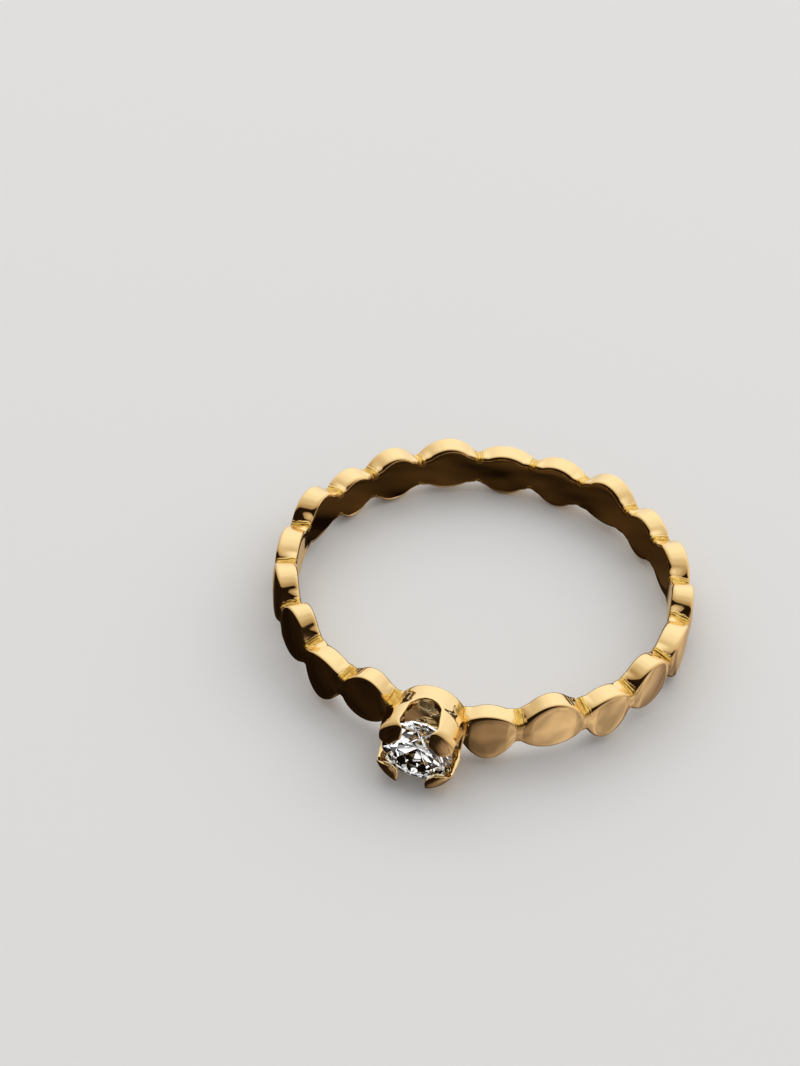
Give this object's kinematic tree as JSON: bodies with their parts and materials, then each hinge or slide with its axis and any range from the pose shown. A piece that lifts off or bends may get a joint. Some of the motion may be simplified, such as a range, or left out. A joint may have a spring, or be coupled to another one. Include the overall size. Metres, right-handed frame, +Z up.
{
  "type": "solitaire ring",
  "caption": "Yellow gold finger ring with a scalloped band and a claw setting that holds one round brilliant-cut diamond, resting on its side.",
  "frame": {"origin": "on the table that the ring lies on, under the middle of the whole ring", "axes": "+Z up, along the finger hole but for the small tilt at which the ring rests; -Y from the ring's middle to the setting; X across the band"},
  "size_m": [0.0192, 0.0216, 0.0037],
  "materials": {
    "yellow_gold": "polished 18 carat yellow gold, with filed notches between the scallops",
    "diamond": "clear brilliant-cut diamond"
  },
  "bodies": {
    "root": {"scalloped_band_with_claws": "yellow_gold", "round_diamond": "diamond"}
  },
  "joints": []
}
